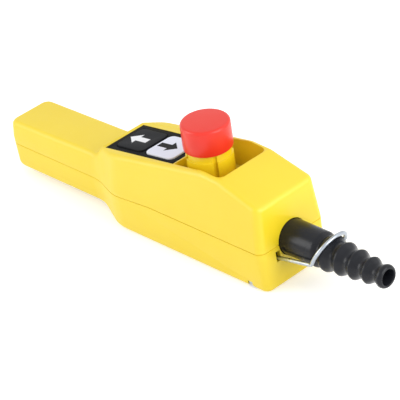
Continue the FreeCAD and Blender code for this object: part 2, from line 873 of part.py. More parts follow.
def coil(label, radius, thickness, turns, length):
    """Coil spring of eight-sided wire, its lowest turn centred on the origin."""
    helix = doc.addObject("Part::Helix", label + "_path")
    ring = doc.addObject("Part::RegularPolygon", label + "_section")
    ring.Polygon = 8
    rise = length - thickness - 2 * s.coil_seat
    for thing, path, size in ((helix, "Pitch", rise / turns), (helix, "Height", rise),
                              (helix, "Radius", radius), (ring, "Circumradius", thickness / 2)):
        setattr(thing, path, number(size))
        bind(thing, path, size)
    place(ring, radius, 0, 0, Vector(1, 0, 0), 90)
    form = doc.addObject("Part::Sweep", label)
    form.Sections = [ring]
    form.Spine = (helix, ["Edge1"])
    form.Solid = True
    form.Frenet = True
    return keep(form, label)


terminal_screws = []


def terminal_set(label, reach, low, up, base_z, put):
    """Two contact strips with their screws: each runs through a block wall and bends along it."""
    strips = []
    screws = []
    leg = base_z + (s.terminal_leg if up else s.strip - s.terminal_leg)
    inner = base_z + (s.strip if up else 0.0)
    outer_z = base_z if up else base_z + s.strip
    for side in (-1, 1):
        owner = new_body("%s_%d" % (label, side + 1))
        out = side * (s.block_half + s.strip)
        wall = side * s.block_half
        sketch = outline(sketch_in(owner, "bend", "YZ"), [
            (side * reach, inner), (side * reach, outer_z), (out, outer_z, s.strip * 1.5), (out, leg),
            (wall, leg), (wall, inner, s.strip / 2)])
        strips.append(put(pad(sketch, s.terminal_width, True)))
        made = screw("%s_screw_%d" % (label, side + 1), s.terminal_head, s.head_height, s.terminal_shank,
                     s.terminal_grip)
        screws.append((made, side, leg + (-s.screw_from_end if up else s.screw_from_end)))
    return strips, screws


def block(label, length, height, low, floor, bore, ears):
    """Contact block: a tunnel with a bore in its top."""
    owner = new_body(label)
    pad(outline(sketch_in(owner, "plan", "XY", low),
                rectangle(-length / 2, length / 2, -s.block_half, s.block_half, s.block_edge)), height)
    if ears:
        pad(outline(sketch_in(owner, "ears", "XY", low + height - s.block_wall),
                    rectangle(-s.ear_length / 2, s.ear_length / 2, -s.ear_half, s.ear_half, s.block_edge)),
            s.block_wall)
    pocket(outline(sketch_in(owner, "tunnel", "YZ"),
                   rectangle(-s.chamber_half, s.chamber_half, low + floor, low + height - s.block_wall)),
           length + s.play, True)
    return pocket(circle(sketch_in(owner, "bore", "XY", low + height), 0, 0, bore), s.block_wall)


def bridge(label, half, low):
    owner = new_body(label)
    sketch = outline(sketch_in(owner, "plan", "XY", low),
                     rectangle(-s.bridge_width / 2, s.bridge_width / 2, -half, half, s.strip))
    circle(sketch, 0, 0, s.plunger_tail + s.shaft_gap)
    return pad(sketch, s.strip)


words = ("lower", "raise")
block_screws = []
for word, centre, way in zip(words, cap_centres, (-1, 1)):
    # cap with its stem and its inlaid arrow
    cap = new_body(word + "_cap")
    pad(outline(sketch_in(cap, "plan", "XY", s.cap_rise - s.cap_depth),
                rectangle(-s.cap_length / 2, s.cap_length / 2, -s.cap_width / 2, s.cap_width / 2,
                          s.cap_round)), s.cap_depth)
    rounded(cap, s.cap_edge, lambda edge: edge.BoundBox.ZMin > number(s.cap_rise) - 0.01)
    inner_x = s.cap_length / 2 - s.cap_wall
    inner_y = s.cap_width / 2 - s.cap_wall
    pocket(outline(sketch_in(cap, "hollow", "XY", s.cap_rise - s.cap_crown),
                   rectangle(-inner_x, inner_x, -inner_y, inner_y, s.cap_round - s.cap_wall)), s.cap_depth)
    pad(circle(sketch_in(cap, "stem", "XY", stem_low), 0, 0, s.cap_stem),
        s.cap_rise - s.cap_crown - stem_low)
    pocket(outline(sketch_in(cap, "inlay", "XY", s.cap_rise), arrow_corners(way)), s.arrow_depth)
    keep(on_deck(cap, centre), word + "_cap")
    arrow = new_body(word + "_arrow")
    pad(outline(sketch_in(arrow, "plan", "XY", s.cap_rise - s.arrow_depth), arrow_corners(way)),
        s.arrow_depth)
    keep(on_deck(arrow, centre), word + "_arrow")

    # plunger, contact bridge and return spring
    collar_top = chamber_top - s.stop_clearance
    plunger = turned(word + "_plunger", [
        (0.0, stem_low), (0.0, bridge_top - s.tail_length), (s.plunger_tail, bridge_top - s.tail_length),
        (s.plunger_tail, bridge_top), (s.plunger_radius, bridge_top),
        (s.plunger_radius, collar_top - s.collar_height), (s.plunger_collar, collar_top - s.collar_height),
        (s.plunger_collar, collar_top), (s.plunger_radius, collar_top), (s.plunger_radius, stem_low)])
    keep(on_deck(plunger, centre), word + "_plunger")
    keep(on_deck(bridge(word + "_bridge", s.bridge_half, bridge_top - s.strip), centre), word + "_bridge")
    spring = coil(word + "_spring", s.coil_radius, s.wire, s.coil_turns, bridge_top - s.strip - chamber_low)
    on_deck(spring, centre, 0, chamber_low + s.wire / 2 + s.coil_seat)

    # contact block with its terminals and screws
    strips, screws = terminal_set(word + "_terminal", s.contact_reach, contact_top, True,
                                  contact_top - s.strip, lambda thing: on_deck(thing, centre))
    for made, side, height in screws:
        x, z = deck_point(centre, height)
        place(made, x, side * (s.block_half + s.strip), z, Vector(side, 0, 0), 90)
        terminal_screws.append(made)
    made_screws = group(word + "_screw_forms", [made for made, side, height in screws])
    terminals = keep(cut(word + "_terminals", group(word + "_strips", strips), made_screws),
                     word + "_terminals")
    ears = []
    for side in (-1, 1):
        made = screw("%s_block_screw_%d" % (word, side + 1), s.block_head, s.head_height, s.block_shank,
                     s.block_wall + s.block_drop)
        ears.append(on_deck(made, centre, side * s.boss_offset, chamber_top))
    block_screws += ears
    base = on_deck(block(word + "_block_form", s.block_length, s.block_height, block_low, s.block_floor,
                         s.plunger_radius + s.running_gap, True), centre)
    keep(cut(word + "_block", base, group(word + "_block_tools", [terminals, made_screws] + ears)),
         word + "_block")
keep(group("block_screws", block_screws), "block_screws")

# emergency stop, stacked up from the contact block to the head
collar_low = s.well_floor + s.stop_gasket_thickness
collar_seat = collar_low + s.collar_floor
collar_high = s.head_rim - s.stop_travel - s.stop_clearance
spigot_top = s.head_rim + s.spigot_cover
bush_bore = s.shaft_radius + s.shaft_gap
bush_hole = s.bush_radius + s.running_gap
nut_low = under_well - s.nut_height
bush_low = nut_low - s.bush_tail
bush_top = collar_high - s.bush_clearance
shaft_top = s.head_rim + s.shaft_grip
ceiling = s.head_rim + s.skirt_depth
shaft_collar_top = bush_low - s.stop_clearance
stop_bridge_top = shaft_collar_top - s.collar_height
stop_contact = stop_bridge_top + s.stop_clearance


def at_stop(thing):
    return place(thing, stop_x)


keep(at_stop(turned("stop_gasket", rectangle(bush_hole, s.collar_radius, s.well_floor, collar_low))),
     "stop_gasket")
collar = turned("stop_collar", [
    (bush_hole, collar_low), (s.collar_radius, collar_low), (s.collar_radius, collar_high),
    (s.spigot_radius, collar_high), (s.spigot_radius, spigot_top),
    (s.spigot_radius - s.collar_wall, spigot_top), (s.spigot_radius - s.collar_wall, collar_seat),
    (bush_hole, collar_seat)])
for k in range(4):
    angle = math.radians(number(s.notch_angle) + 90 * k)
    along, over = math.cos(angle), math.sin(angle)
    deep_end = s.collar_radius - s.notch_depth
    open_end = s.collar_radius + s.notch_depth
    half = s.notch_width / 2
    pocket(outline(sketch_in(collar, "notch_%d" % k, "XY", spigot_top), [
        (deep_end * along + half * over, deep_end * over - half * along),
        (open_end * along + half * over, open_end * over - half * along),
        (open_end * along - half * over, open_end * over + half * along),
        (deep_end * along - half * over, deep_end * over + half * along)]), spigot_top - collar_low)
keep(at_stop(collar), "stop_collar")
keep(at_stop(turned("stop_bush", [
    (bush_bore, bush_low), (s.bush_radius, bush_low), (s.bush_radius, collar_seat),
    (s.bush_flange, collar_seat), (s.bush_flange, collar_seat + s.bush_rim),
    (s.bush_radius, collar_seat + s.bush_rim), (s.bush_radius, bush_top), (bush_bore, bush_top)])),
     "stop_bush")
nut = new_body("stop_nut")
nut_corner = s.nut_half / math.cos(math.radians(30))
nut_sketch = outline(sketch_in(nut, "hexagon", "XY", nut_low), [
    (nut_corner * math.cos(math.radians(60 * k)), nut_corner * math.sin(math.radians(60 * k)))
    for k in range(6)])
keep(at_stop(pad(circle(nut_sketch, 0, 0, s.bush_radius), s.nut_height)), "stop_nut")
keep(at_stop(turned("stop_shaft", [
    (0.0, stop_bridge_top - s.tail_length), (s.plunger_tail, stop_bridge_top - s.tail_length),
    (s.plunger_tail, stop_bridge_top), (s.shaft_collar, stop_bridge_top),
    (s.shaft_collar, shaft_collar_top), (s.shaft_radius, shaft_collar_top),
    (s.shaft_radius, shaft_top), (0.0, shaft_top)])), "stop_shaft")
keep(at_stop(turned("stop_head", [
    (s.shaft_radius, spigot_top), (s.hub_radius, spigot_top), (s.hub_radius, ceiling),
    (s.head_skirt, ceiling), (s.head_skirt, s.head_rim), (s.head_radius, s.head_rim),
    (s.head_radius, s.head_rim + s.head_height_full, s.head_round),
    (0.0, s.head_rim + s.head_height_full), (0.0, shaft_top), (s.shaft_radius, shaft_top)])), "stop_head")
place(coil("stop_spring", s.stop_coil_radius, s.stop_wire, s.stop_coil_turns, spigot_top - bush_top),
      stop_x, 0, bush_top + s.stop_wire / 2 + s.coil_seat)
keep(at_stop(bridge("stop_bridge", s.stop_bridge_half, stop_bridge_top - s.strip)), "stop_bridge")
stop_block_low = nut_low - s.stop_block_height
place(coil("stop_bridge_spring", s.coil_radius, s.wire, s.coil_turns,
           stop_bridge_top - s.strip - stop_block_low - s.block_floor),
      stop_x, 0, stop_block_low + s.block_floor + s.wire / 2 + s.coil_seat)
strips, screws = terminal_set("stop_terminal", s.stop_reach, stop_contact, False, stop_contact, at_stop)
for made, side, height in screws:
    place(made, stop_x, side * (s.block_half + s.strip), height, Vector(side, 0, 0), 90)
    terminal_screws.append(made)
stop_screws = group("stop_screw_forms", [made for made, side, height in screws])
stop_terminals = keep(cut("stop_terminals", group("stop_strips", strips), stop_screws), "stop_terminals")
base = at_stop(block("stop_block_form", s.stop_block_length, s.stop_block_height, stop_block_low,
                     s.block_floor, s.bush_radius, False))
keep(cut("stop_block", base, group("stop_block_tools", [stop_terminals, stop_screws])), "stop_block")
keep(group("terminal_screws", terminal_screws), "terminal_screws")

# cable sleeve with tapering ribs, and the clamp inside
taper_end_x = sleeve_end_x - s.end_bore_length
profile = [(flange_x, s.sleeve_bore), (taper_end_x - s.bore_taper, s.sleeve_bore),
           (taper_end_x, s.end_bore), (sleeve_end_x, s.end_bore)]
crests = []
count = int(number(s.rib_count))
for k in range(count):
    radius = s.rib_first - (s.rib_first - s.rib_last) * (k / (count - 1.0))
    crests.append((sleeve_end_x - s.rib_half - s.rib_pitch * float(count - 1 - k), radius))


def rib(middle, radius):
    """One rib, seen from its far side to its near side, with bevelled shoulders."""
    low = radius - s.rib_round / 2
    return [(middle + s.rib_half, low), (middle + s.rib_half - s.rib_round, radius),
            (middle - s.rib_half + s.rib_round, radius), (middle - s.rib_half, low)]


profile += rib(*crests[-1])
for k in range(count - 2, -1, -1):
    valley = crests[k][1] / 2 + crests[k + 1][1] / 2 - s.rib_depth
    middle = crests[k][0] + s.rib_pitch / 2
    profile += [(middle + s.valley_half, valley), (middle - s.valley_half, valley)] + rib(*crests[k])
first_valley = s.rib_first - s.rib_depth
first_x = crests[0][0] - s.rib_pitch / 2
profile += [(first_x + s.valley_half, first_valley), (first_x - s.valley_half, first_valley),
            (first_x - s.rib_half, s.sleeve_radius), (inner_face_x, s.sleeve_radius),
            (inner_face_x, s.flange_radius), (flange_x, s.flange_radius)]
keep(place(turned("cable_sleeve", profile, "H_Axis"), 0, 0, axis_z), "cable_sleeve")

clamp = new_body("cable_clamp")
half = s.clamp_width / 2
pad(outline(sketch_in(clamp, "bar", "XY", clamp_seat),
            rectangle(-half, half, -s.clamp_half, s.clamp_half, s.clamp_thickness)), s.clamp_thickness)
pad(outline(sketch_in(clamp, "lobe", "XY", axis_z + s.lobe_rise),
            rectangle(-half, half, -s.lobe_half, s.lobe_half)), clamp_seat - axis_z - s.lobe_rise)
pocket(circle(sketch_in(clamp, "groove", "YZ"), 0, axis_z, s.cable_radius), s.clamp_width + s.play, True)
holes = sketch_in(clamp, "holes", "XY", clamp_seat + s.clamp_thickness)
for side in (-1, 1):
    circle(holes, 0, side * s.clamp_screw, s.screw_shank + s.shaft_gap)
pocket(holes, s.clamp_thickness)
keep(place(clamp, clamp_x), "cable_clamp")


# bail: one bent wire, swept along straight runs and bends

def bent_path(corners):
    """Wire through (point, radius) corners with a tangent arc at each inner one."""
    edges = []
    start = corners[0][0]
    for (before, r0), (corner, radius), (after, r1) in zip(corners, corners[1:], corners[2:]):
        back = (before - corner).normalize()
        ahead = (after - corner).normalize()
        half_angle = back.getAngle(ahead) / 2
        reach = radius / math.tan(half_angle)
        first, last = corner + back * reach, corner + ahead * reach
        middle = corner + (back + ahead).normalize() * (radius / math.sin(half_angle) - radius)
        edges += [Part.makeLine(start, first), Part.Arc(first, middle, last).toShape()]
        start = last
    edges.append(Part.makeLine(start, corners[-1][0]))
    return Part.Wire(edges)


pivot = Vector(number(bail_pivot_x), 0, number(bail_pivot_z))
elbow = pivot + Vector(number(s.bail_corner_reach), 0, number(s.bail_corner_height - s.bail_pivot_height))
apex_z = number(axis_z + s.rib_first + s.bail_wire + s.bail_seat)
apex = elbow + Vector(number(s.bail_lean), 0, 1).multiply(apex_z - elbow.z)
wide = Vector(0, number(s.bail_half), 0)
foot = Vector(0, number(s.bail_half + s.bail_foot), 0)
bend, arch = number(s.bail_bend), number(s.bail_half - s.running_gap)
path = bent_path([(pivot - foot, 0), (pivot - wide, bend), (elbow - wide, bend), (apex - wide, arch),
                  (apex + wide, arch), (elbow + wide, bend), (pivot + wide, bend), (pivot + foot, 0)])
section = Part.Wire([Part.makeCircle(number(s.bail_wire), pivot - foot, Vector(0, 1, 0))])
bail = doc.addObject("Part::Feature", "bail")
bail.Shape = path.makePipeShell([section], True, True)
bail.Placement = FreeCAD.Placement(Vector(), FreeCAD.Rotation(Vector(1, 0, 0), number(s.bail_roll)),
                                   Vector(0, 0, number(axis_z)))
keep(bail, "bail")

doc.recompute()
for thing in doc.Objects:
    if "Invalid" in thing.State or "Error" in thing.State:
        raise RuntimeError("%s did not build: %s" % (thing.Name, thing.State))
for thing in parts:
    if thing.Shape.isNull() or not thing.Shape.isValid() or not thing.Shape.Solids:
        raise RuntimeError("%s has no valid solid" % thing.Label)
os.makedirs("parts", exist_ok=True)
for thing in parts:
    thing.Shape.exportStep("parts/%s.step" % thing.Label)
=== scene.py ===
import json
import math

import bmesh
import bpy
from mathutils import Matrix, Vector

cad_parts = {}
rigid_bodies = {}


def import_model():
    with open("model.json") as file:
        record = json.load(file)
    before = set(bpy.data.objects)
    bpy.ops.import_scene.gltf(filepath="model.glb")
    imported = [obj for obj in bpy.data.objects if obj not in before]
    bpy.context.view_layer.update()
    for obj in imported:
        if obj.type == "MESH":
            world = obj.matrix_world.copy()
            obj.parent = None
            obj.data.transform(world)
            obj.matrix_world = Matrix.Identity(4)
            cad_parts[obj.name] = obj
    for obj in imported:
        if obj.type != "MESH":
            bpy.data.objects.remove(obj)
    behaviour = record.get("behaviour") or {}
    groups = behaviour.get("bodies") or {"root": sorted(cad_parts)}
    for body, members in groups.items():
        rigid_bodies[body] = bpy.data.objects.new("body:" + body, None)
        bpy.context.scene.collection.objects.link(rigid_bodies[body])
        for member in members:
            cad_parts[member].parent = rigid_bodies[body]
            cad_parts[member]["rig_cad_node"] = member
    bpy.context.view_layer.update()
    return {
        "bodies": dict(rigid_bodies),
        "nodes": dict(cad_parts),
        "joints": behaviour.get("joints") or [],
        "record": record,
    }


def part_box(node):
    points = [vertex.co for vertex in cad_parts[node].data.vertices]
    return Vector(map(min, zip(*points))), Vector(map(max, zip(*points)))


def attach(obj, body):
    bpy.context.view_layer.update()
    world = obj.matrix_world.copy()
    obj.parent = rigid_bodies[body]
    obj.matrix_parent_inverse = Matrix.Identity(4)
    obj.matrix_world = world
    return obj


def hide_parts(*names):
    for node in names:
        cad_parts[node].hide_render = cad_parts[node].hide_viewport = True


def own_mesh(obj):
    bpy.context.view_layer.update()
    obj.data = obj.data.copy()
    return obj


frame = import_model()
nodes = frame["nodes"]
bpy.ops.object.select_all(action="DESELECT")
print("frame loaded with", len(nodes), "nodes")


# camera at the photograph's angle, a long lens from well back
viewpoint = {
    "place": (0.97516, -0.8034, 0.79363),
    "turn": (58.3061, 7.5647, 45.8055),
    "lens": 222.43,
    "sensor": 36,
    "farthest": 20,
}


def addCamera():
    turn = [math.radians(angle) for angle in viewpoint["turn"]]
    bpy.ops.object.camera_add(location=viewpoint["place"], rotation=turn)
    camera = bpy.context.object
    camera.name = "photoCamera"
    camera.data.lens = viewpoint["lens"]
    camera.data.sensor_width = viewpoint["sensor"]
    camera.data.clip_end = viewpoint["farthest"]
    camera.data.dof.use_dof = False
    bpy.context.scene.camera = camera


# one sum; each of the two values is a socket or a number
def addMath(tree, operation, first, second, clamp=False):
    node = tree.nodes.new("ShaderNodeMath")
    node.operation = operation
    node.use_clamp = clamp
    for socket, value in zip(node.inputs, (first, second)):
        if isinstance(value, (int, float)):
            socket.default_value = value
        else:
            tree.links.new(value, socket)
    return node.outputs[0]


# soft studio light: a key at the grip's side, a broad fill past the cable end, a weak rim behind
studio = {
    "aim": (0.02, 0, 0.03),
    "key": {"place": (-0.75, -0.95, 0.6), "size": 0.9, "power": 7.2},
    "fill": {"place": (1.15, 0.2, 0.6), "size": 1.1, "power": 11.6},
    "rim": {"place": (0.35, 0.95, 0.9), "size": 0.9, "power": 1.0},
    "world": 0.77,
    "floor": {"size": 6, "drop": 0.0001, "colour": (0.93, 0.93, 0.93),
              "rough": 0.9, "shine": 0.1, "glow": 0.32},
}


def addLight(name, place, size, power):
    aim = Vector(studio["aim"]) - Vector(place)
    turn = aim.to_track_quat("-Z", "Y").to_euler()
    bpy.ops.object.light_add(type="AREA", location=place, rotation=turn)
    lamp = bpy.context.object
    lamp.name = name
    lamp.data.shape = "DISK"
    lamp.data.size = size
    lamp.data.energy = power


def addWorld():
    world = bpy.data.worlds.new("studioWorld")
    world.use_nodes = True
    tree = world.node_tree
    background = tree.nodes["Background"]
    path = tree.nodes.new("ShaderNodeLightPath")
    seen = addMath(tree, "MAXIMUM", path.outputs["Is Camera Ray"], path.outputs["Is Glossy Ray"])
    mix = tree.nodes.new("ShaderNodeMapRange")
    mix.inputs["To Min"].default_value = studio["world"]
    mix.inputs["To Max"].default_value = 1.0
    tree.links.new(seen, mix.inputs["Value"])
    tree.links.new(mix.outputs["Result"], background.inputs["Strength"])
    background.inputs["Color"].default_value = (1, 1, 1, 1)
    bpy.context.scene.world = world


def addFloor():
    look = studio["floor"]
    bpy.ops.mesh.primitive_plane_add(size=look["size"], location=(0, 0, -look["drop"]))
    floor = bpy.context.object
    floor.name = "floor"
    material = bpy.data.materials.new("paleFloor")
    material.use_nodes = True
    tree = material.node_tree
    shader = tree.nodes["Principled BSDF"]
    shader.inputs["Base Color"].default_value = look["colour"] + (1,)
    shader.inputs["Roughness"].default_value = look["rough"]
    shader.inputs["Specular IOR Level"].default_value = look["shine"]
    # the camera sees the floor almost white, and the object's shadow stays on it
    glow = tree.nodes.new("ShaderNodeEmission")
    glow.inputs["Color"].default_value = (1, 1, 1, 1)
    glow.inputs["Strength"].default_value = look["glow"]
    path = tree.nodes.new("ShaderNodeLightPath")
    add = tree.nodes.new("ShaderNodeAddShader")
    mix = tree.nodes.new("ShaderNodeMixShader")
    out = tree.nodes["Material Output"]
    tree.links.new(shader.outputs[0], add.inputs[0])
    tree.links.new(glow.outputs[0], add.inputs[1])
    seen = addMath(tree, "MAXIMUM", path.outputs["Is Camera Ray"], path.outputs["Is Glossy Ray"])
    tree.links.new(seen, mix.inputs["Fac"])
    tree.links.new(shader.outputs[0], mix.inputs[1])
    tree.links.new(add.outputs[0], mix.inputs[2])
    tree.links.new(mix.outputs[0], out.inputs["Surface"])
    floor.data.materials.append(material)


addCamera()
for name in ("key", "fill", "rim"):
    addLight(name + "Lamp", **studio[name])
addWorld()
addFloor()
bpy.context.scene.view_settings.view_transform = "Standard"
bpy.ops.object.select_all(action="DESELECT")
print("camera, lamps and floor are in")


# numbers that sit inside the shader groups
texture = {
    "edgeSamples": 6,
    "edgeContrast": 6.0,
    "patchScale": 14.0,
    "blotchScale": 160.0,
    "dustOnSides": 0.15,
}


# shader groups that several finishes share
def newGroup(name, inputs, outputs):
    group = bpy.data.node_groups.new(name, "ShaderNodeTree")
    for word, kind, value in inputs:
        socket = group.interface.new_socket(word, in_out="INPUT", socket_type=kind)
        if value is not None:
            socket.default_value = value
    for word, kind in outputs:
        group.interface.new_socket(word, in_out="OUTPUT", socket_type=kind)
    start = group.nodes.new("NodeGroupInput")
    end = group.nodes.new("NodeGroupOutput")
    return group, start, end


def addNoise(tree, vector, scale, detail, roughness=0.5):
    node = tree.nodes.new("ShaderNodeTexNoise")
    node.inputs["Detail"].default_value = detail
    node.inputs["Roughness"].default_value = roughness
    if isinstance(scale, (int, float)):
        node.inputs["Scale"].default_value = scale
    else:
        tree.links.new(scale, node.inputs["Scale"])
    tree.links.new(vector, node.inputs["Vector"])
    return node.outputs["Fac"]


def buildEdgeWear():
    # 1 on convex edges, broken up by noise, 0 on open faces
    group, start, end = newGroup("edgeWear", [
        ("Radius", "NodeSocketFloat", 0.0008), ("Breakup", "NodeSocketFloat", 90.0),
        ("Amount", "NodeSocketFloat", 1.0)], [("Mask", "NodeSocketFloat")])
    bevel = group.nodes.new("ShaderNodeBevel")
    bevel.samples = texture["edgeSamples"]
    group.links.new(start.outputs["Radius"], bevel.inputs["Radius"])
    geometry = group.nodes.new("ShaderNodeNewGeometry")
    compare = group.nodes.new("ShaderNodeVectorMath")
    compare.operation = "DOT_PRODUCT"
    group.links.new(bevel.outputs[0], compare.inputs[0])
    group.links.new(geometry.outputs["Normal"], compare.inputs[1])
    place = group.nodes.new("ShaderNodeTexCoord")
    noise = addNoise(group, place.outputs["Object"], start.outputs["Breakup"], 4.0, 0.65)
    turned = addMath(group, "SUBTRACT", 1.0, compare.outputs["Value"], True)
    sharp = addMath(group, "MULTIPLY", turned, texture["edgeContrast"], True)
    broken = addMath(group, "MULTIPLY", sharp, noise)
    group.links.new(addMath(group, "MULTIPLY", broken, start.outputs["Amount"], True),
                    end.inputs["Mask"])
    return group


def buildMoulding():
    # spark-eroded mould texture: fine grain over a slow ripple, and patches that drift in tone
    group, start, end = newGroup("mouldedGrain", [
        ("Grain", "NodeSocketFloat", 1400.0), ("Ripple", "NodeSocketFloat", 45.0),
        ("Ripple share", "NodeSocketFloat", 0.4)],
        [("Height", "NodeSocketFloat"), ("Patch", "NodeSocketFloat")])
    place = group.nodes.new("ShaderNodeTexCoord")
    fine = addNoise(group, place.outputs["Object"], start.outputs["Grain"], 3.0)
    slow = addNoise(group, place.outputs["Object"], start.outputs["Ripple"], 2.0)
    patch = addNoise(group, place.outputs["Object"], texture["patchScale"], 3.0, 0.6)
    share = addMath(group, "MULTIPLY", slow, start.outputs["Ripple share"])
    group.links.new(addMath(group, "ADD", fine, share), end.inputs["Height"])
    group.links.new(patch, end.inputs["Patch"])
    return group


def buildDust():
    # settles on faces that look up, thicker in patches
    group, start, end = newGroup("settledDust", [
        ("Amount", "NodeSocketFloat", 0.3), ("Scale", "NodeSocketFloat", 60.0)],
        [("Mask", "NodeSocketFloat")])
    geometry = group.nodes.new("ShaderNodeNewGeometry")
    split = group.nodes.new("ShaderNodeSeparateXYZ")
    group.links.new(geometry.outputs["Normal"], split.inputs[0])
    place = group.nodes.new("ShaderNodeTexCoord")
    noise = addNoise(group, place.outputs["Object"], start.outputs["Scale"], 5.0, 0.6)
    upward = addMath(group, "MAXIMUM", split.outputs["Z"], texture["dustOnSides"])
    patchy = addMath(group, "MULTIPLY", upward, noise)
    group.links.new(addMath(group, "MULTIPLY", patchy, start.outputs["Amount"], True),
                    end.inputs["Mask"])
    return group


def buildDrawnWire():
    # fine scratches that run along one axis of the piece
    group, start, end = newGroup("brushedLines", [
        ("Along", "NodeSocketVector", None), ("Scale", "NodeSocketFloat", 1.0)],
        [("Lines", "NodeSocketFloat"), ("Blotch", "NodeSocketFloat")])
    place = group.nodes.new("ShaderNodeTexCoord")
    stretch = group.nodes.new("ShaderNodeVectorMath")
    stretch.operation = "MULTIPLY"
    group.links.new(place.outputs["Object"], stretch.inputs[0])
    group.links.new(start.outputs["Along"], stretch.inputs[1])
    lines = addNoise(group, stretch.outputs[0], start.outputs["Scale"], 4.0, 0.6)
    blotch = addNoise(group, place.outputs["Object"], texture["blotchScale"], 4.0, 0.6)
    group.links.new(lines, end.inputs["Lines"])
    group.links.new(blotch, end.inputs["Blotch"])
    return group


edgeWear = buildEdgeWear()
mouldedGrain = buildMoulding()
settledDust = buildDust()
brushedLines = buildDrawnWire()
print("shader groups are built")


def newFinish(name):
    material = bpy.data.materials.new(name)
    material.use_nodes = True
    return material, material.node_tree, material.node_tree.nodes["Principled BSDF"]


def useGroup(tree, group, **values):
    node = tree.nodes.new("ShaderNodeGroup")
    node.node_tree = group
    for word, value in values.items():
        node.inputs[word].default_value = value
    return node


def mixColour(tree, mask, first, second):
    node = tree.nodes.new("ShaderNodeMix")
    node.data_type = "RGBA"
    tree.links.new(mask, node.inputs["Factor"])
    for socket, value in (("A", first), ("B", second)):
        target = [item for item in node.inputs
                  if item.name == socket and item.type == "RGBA"][0]
        if isinstance(value, tuple):
            target.default_value = value + (1,)
        else:
            tree.links.new(value, target)
    return [item for item in node.outputs if item.type == "RGBA"][0]


def span(tree, value, low, high, fromLow=0.3, fromHigh=0.7):
    # noise mostly lies between 0.3 and 0.7, which is stretched to low and high
    node = tree.nodes.new("ShaderNodeMapRange")
    for word, number in (("From Min", fromLow), ("From Max", fromHigh),
                         ("To Min", low), ("To Max", high)):
        node.inputs[word].default_value = number
    tree.links.new(value, node.inputs["Value"])
    return node.outputs["Result"]


def addBump(tree, shader, height, strength, distance):
    bump = tree.nodes.new("ShaderNodeBump")
    bump.inputs["Strength"].default_value = strength
    bump.inputs["Distance"].default_value = distance
    tree.links.new(height, bump.inputs["Height"])
    tree.links.new(bump.outputs[0], shader.inputs["Normal"])


# metres of height in the bump, and the tone of dust
grainDepth = 0.0003
lineDepth = 0.0001
dustColour = (0.62, 0.60, 0.56)

# moulded plastics: colour, its slow drift, its worn edge, roughness range, specular level and grain
plastics = {
    "yellow_shell": {"colour": (0.81, 0.610, 0.010), "drift": (0.79, 0.585, 0.008),
                     "edge": (0.88, 0.68, 0.06), "rough": (0.37, 0.47), "level": 0.75,
                     "bump": 0.34, "grain": 2300.0, "wear": 0.35, "dust": 0.02},
    # the collar is the shell's yellow made a touch deeper gold: painted shade from the well it sits
    # in
    "yellow_collar": {"colour": (0.81, 0.600, 0.010), "drift": (0.79, 0.575, 0.008),
                      "edge": (0.88, 0.67, 0.05), "rough": (0.26, 0.36), "level": 0.5,
                      "bump": 0.16, "grain": 2300.0, "wear": 0.3, "dust": 0.02},
    "red_head": {"colour": (0.75, 0.027, 0.013), "drift": (0.71, 0.023, 0.011),
                 "edge": (0.84, 0.11, 0.08), "rough": (0.28, 0.36), "level": 0.45,
                 "bump": 0.12, "grain": 1700.0, "wear": 0.35, "dust": 0.02},
    "black_panel": {"colour": (0.007, 0.0075, 0.009), "drift": (0.010, 0.011, 0.013),
                    "edge": (0.05, 0.05, 0.056), "rough": (0.46, 0.58), "level": 0.05,
                    "bump": 0.25, "grain": 1900.0, "wear": 0.3, "dust": 0.006},
    "black_cap": {"colour": (0.008, 0.009, 0.011), "drift": (0.011, 0.012, 0.015),
                  "edge": (0.07, 0.07, 0.078), "rough": (0.38, 0.48), "level": 0.06,
                  "bump": 0.12, "grain": 1700.0, "wear": 0.3, "dust": 0.006},
    "white_cap": {"colour": (0.74, 0.77, 0.89), "drift": (0.72, 0.745, 0.86),
                  "edge": (0.72, 0.74, 0.80), "rough": (0.30, 0.42), "level": 0.4,
                  "bump": 0.1, "grain": 1700.0, "wear": 0.3, "dust": 0.02},
    "white_mark": {"colour": (0.80, 0.81, 0.83), "drift": (0.77, 0.78, 0.80),
                   "edge": (0.86, 0.87, 0.88), "rough": (0.34, 0.44), "level": 0.4,
                   "bump": 0.06, "grain": 1700.0, "wear": 0.1, "dust": 0.02},
    "black_mark": {"colour": (0.008, 0.008, 0.010), "drift": (0.011, 0.011, 0.013),
                   "edge": (0.05, 0.05, 0.056), "rough": (0.44, 0.54), "level": 0.06,
                   "bump": 0.06, "grain": 1700.0, "wear": 0.1, "dust": 0.02},
    "block_plastic": {"colour": (0.05, 0.053, 0.058), "drift": (0.065, 0.068, 0.072),
                      "edge": (0.16, 0.16, 0.17), "rough": (0.50, 0.66), "level": 0.35,
                      "bump": 0.3, "grain": 1100.0, "wear": 0.4, "dust": 0.06},
    "plunger_plastic": {"colour": (0.66, 0.66, 0.60), "drift": (0.60, 0.60, 0.55),
                        "edge": (0.80, 0.80, 0.76), "rough": (0.42, 0.52), "level": 0.45,
                        "bump": 0.1, "grain": 1400.0, "wear": 0.3, "dust": 0.03},
    "black_rubber": {"colour": (0.005, 0.006, 0.009), "drift": (0.009, 0.010, 0.014),
                     "edge": (0.07, 0.075, 0.085), "rough": (0.20, 0.30), "level": 0.26,
                     "bump": 0.16, "grain": 1800.0, "wear": 0.3, "dust": 0.01},
    "seal_rubber": {"colour": (0.03, 0.03, 0.033), "drift": (0.04, 0.04, 0.044),
                    "edge": (0.08, 0.08, 0.085), "rough": (0.60, 0.75), "level": 0.25,
                    "bump": 0.3, "grain": 1200.0, "wear": 0.3, "dust": 0.05},
}


